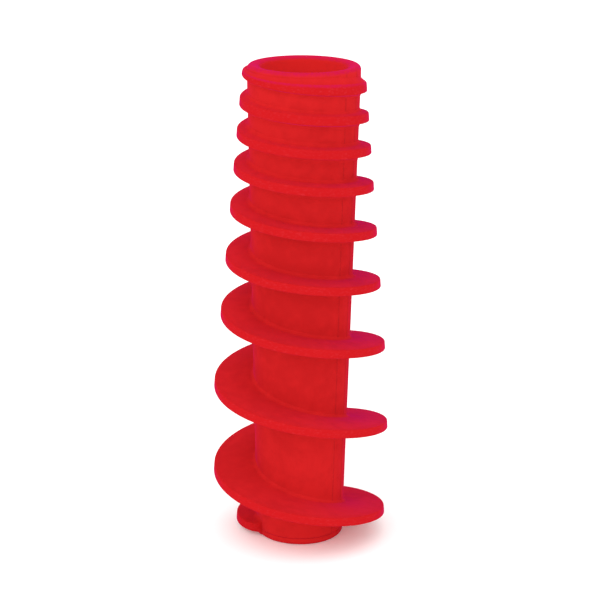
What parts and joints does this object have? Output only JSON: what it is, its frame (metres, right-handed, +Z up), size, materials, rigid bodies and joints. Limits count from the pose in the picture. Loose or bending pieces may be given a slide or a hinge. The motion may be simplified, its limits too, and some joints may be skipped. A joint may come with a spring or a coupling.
{
  "type": "ice fishing auger",
  "caption": "Hollow tapered ice auger body with a continuous left-hand helical flight, a thick rimmed open mouth, an inner keyed drive socket and a small blade under the flight's lower end.",
  "frame": {"origin": "centre of the flat bottom face, on the auger's axis", "axes": "+Z up the auger's axis from the cutting end to the open mouth; +X to the picture's right, -Y towards its viewer"},
  "size_m": [0.1487, 0.1489, 0.4075],
  "materials": {
    "red_moulding": "satin moulded",
    "black_nylon": "matt moulded",
    "machined_steel": "turned",
    "zinc_steel": "zinc plated",
    "spring_steel": "dark drawn",
    "blade_steel": "ground",
    "insert_brass": "knurled",
    "seal_rubber": "matt"
  },
  "bodies": {
    "auger": {"core_tube": "red_moulding", "mouth_collar": "red_moulding", "flight_turn_1": "red_moulding", "flight_turn_2": "red_moulding", "flight_turn_3": "red_moulding", "flight_turn_4": "red_moulding", "flight_turn_5": "red_moulding", "flight_turn_6": "red_moulding", "flight_turn_7": "red_moulding", "flight_turn_8": "red_moulding", "flight_turn_9": "red_moulding", "bottom_cap": "red_moulding", "cap_seal": "seal_rubber", "bolt_plug": "red_moulding", "tie_bolt": "zinc_steel", "tie_bolt_washer": "zinc_steel", "tie_bolt_nut": "zinc_steel", "drive_hub": "black_nylon", "hub_seal": "seal_rubber", "drive_socket": "machined_steel", "socket_screws": "zinc_steel", "detent_spring": "spring_steel", "detent_screw": "spring_steel", "blade_shoe": "red_moulding", "cutting_blade": "blade_steel", "blade_inserts": "insert_brass", "blade_screws": "zinc_steel"},
    "detent": {"detent_ball": "machined_steel"}
  },
  "joints": [
    {"name": "detent_travel", "type": "slide", "parent": "auger", "child": "detent", "axis": [1, 0, 0], "range_m": [0, 0.0012], "stiffness_N_per_m": 1500, "springref_m": -0.0015, "deforming": ["detent_spring"]}
  ]
}
